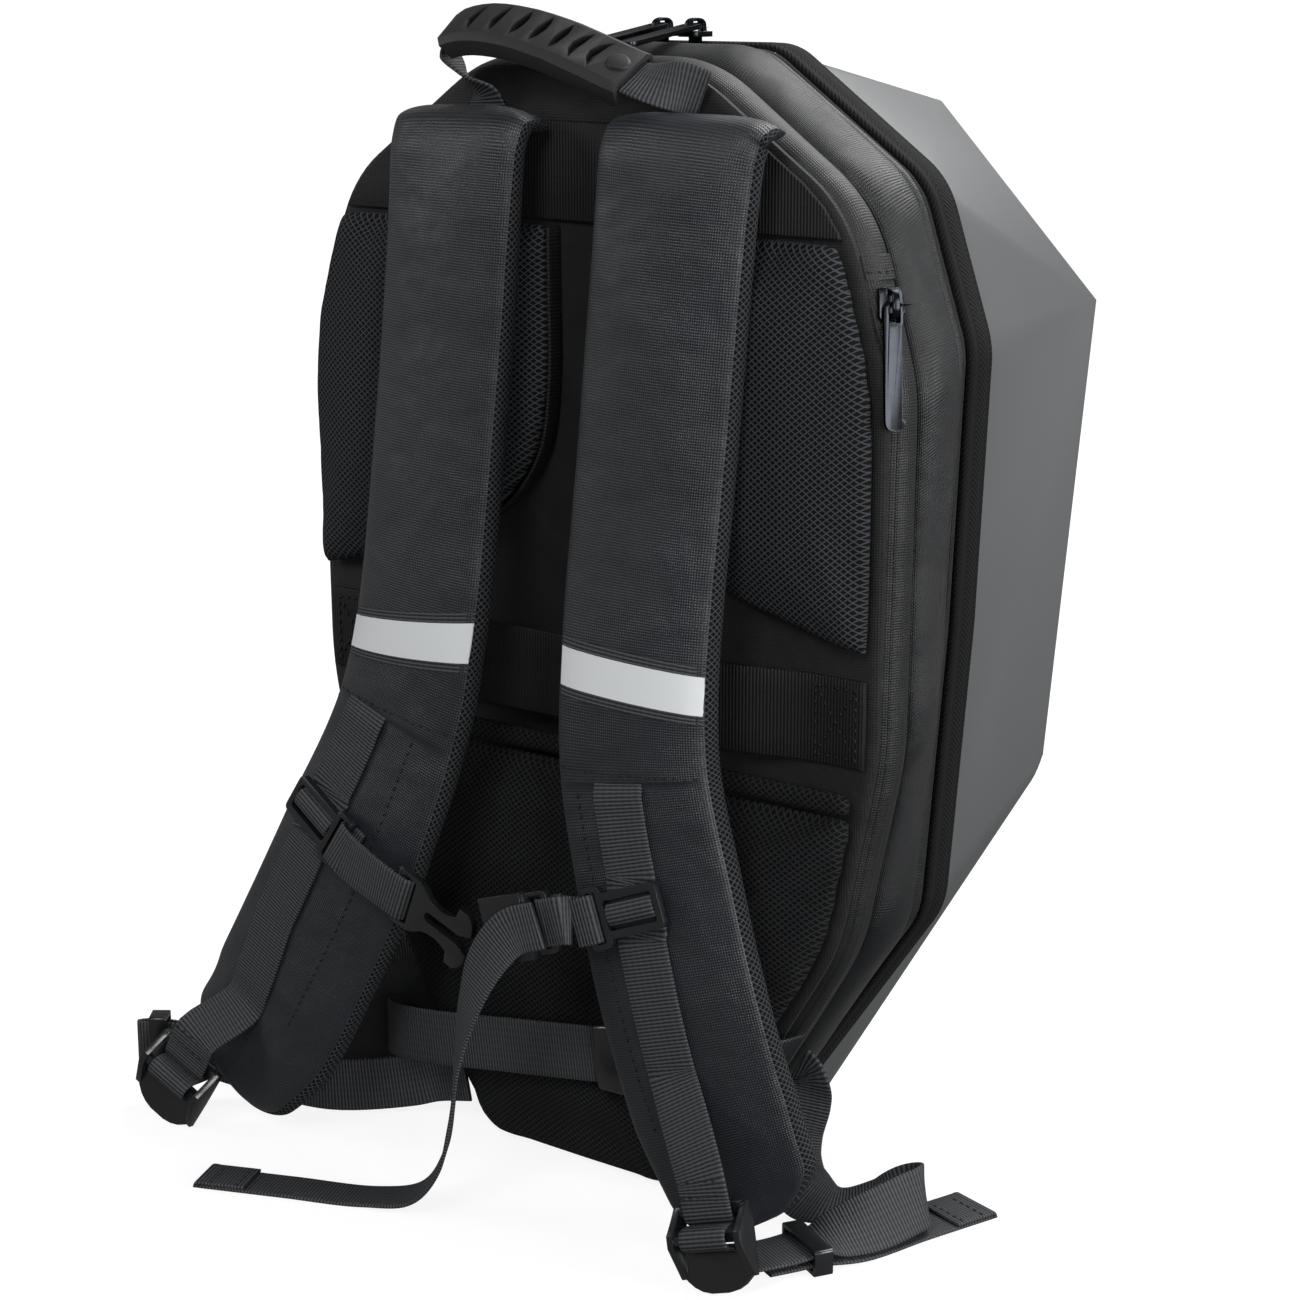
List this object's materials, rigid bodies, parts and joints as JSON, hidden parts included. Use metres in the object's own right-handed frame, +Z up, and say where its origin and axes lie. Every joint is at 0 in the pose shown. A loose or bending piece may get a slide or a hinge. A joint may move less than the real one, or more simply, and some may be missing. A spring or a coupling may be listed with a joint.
{
  "type": "hard shell backpack",
  "caption": "Backpack with a faceted hard shell front, padded mesh back, shoulder straps with sternum strap and waist belt, moulded top handle and swinging zip pulls.",
  "frame": {"origin": "centre of the flat underside of the gusset, on the floor", "axes": "+Z up, +X to the right of someone facing the straps, +Y out through the hard shell"},
  "size_m": [0.3786, 0.3052, 0.495],
  "materials": {
    "coated": "coated woven fabric, dull sheen",
    "mesh": "air mesh over foam",
    "webbing": "ribbed webbing and binding tape",
    "shell": "fine matte texture",
    "plastic": "satin",
    "rubber": "matte moulded",
    "reflective": "retroreflective tape",
    "gunmetal": "glossy dark"
  },
  "bodies": {
    "pack": {"hard_shell": "shell", "shell_binding": "webbing", "gusset": "coated", "zip_roll": "coated", "main_zip": "coated", "back_panel": "coated", "yoke": "webbing", "back_pad_left": "mesh", "back_pad_right": "mesh", "lumbar_pad": "mesh", "lumbar_hem": "mesh", "trolley_band": "webbing", "strap_pad_left": "mesh", "strap_face_left": "coated", "reflector_left": "reflective", "strap_pad_right": "mesh", "strap_face_right": "coated", "reflector_right": "reflective", "strap_adjuster_left": "plastic", "strap_adjuster_right": "plastic", "sternum_slider_left": "plastic", "sternum_slider_right": "plastic", "strap_rail_left": "webbing", "strap_rail_right": "webbing", "sternum_web_left": "webbing", "sternum_plug": "plastic", "sternum_socket": "plastic", "sternum_web_right": "webbing", "sternum_tail": "webbing", "lower_web_right": "webbing", "lower_tail_right": "webbing", "lower_web_left": "webbing", "strap_keeper_left": "plastic", "strap_keeper_right": "plastic", "belt_wing_left": "coated", "belt_wing_right": "coated", "waist_belt_left": "webbing", "waist_belt_right": "webbing", "waist_buckle": "plastic", "handle_web": "webbing", "handle_grip": "rubber", "side_zip_slider": "gunmetal", "side_zip_garage": "coated", "main_zip_slider_left": "gunmetal", "main_zip_slider_right": "gunmetal"},
    "side_pull": {"side_zip_pull": "gunmetal"},
    "main_pull_left": {"main_zip_pull_left": "gunmetal"},
    "main_pull_right": {"main_zip_pull_right": "gunmetal"}
  },
  "joints": [
    {"name": "side_pull_swing", "type": "hinge", "parent": "pack", "child": "side_pull", "pos_m": [0.14747, -0.03445, 0.38578], "axis": [-0.558, -0.8288, 0.0416], "range_deg": [0, 150]},
    {"name": "main_pull_left_swing", "type": "hinge", "parent": "pack", "child": "main_pull_left", "pos_m": [0.001, 0.0129, 0.4859], "axis": [-1, 0, 0], "range_deg": [0, 160]},
    {"name": "main_pull_right_swing", "type": "hinge", "parent": "pack", "child": "main_pull_right", "pos_m": [0.018, 0.0129, 0.4859], "axis": [-1, 0, 0], "range_deg": [0, 160]}
  ]
}
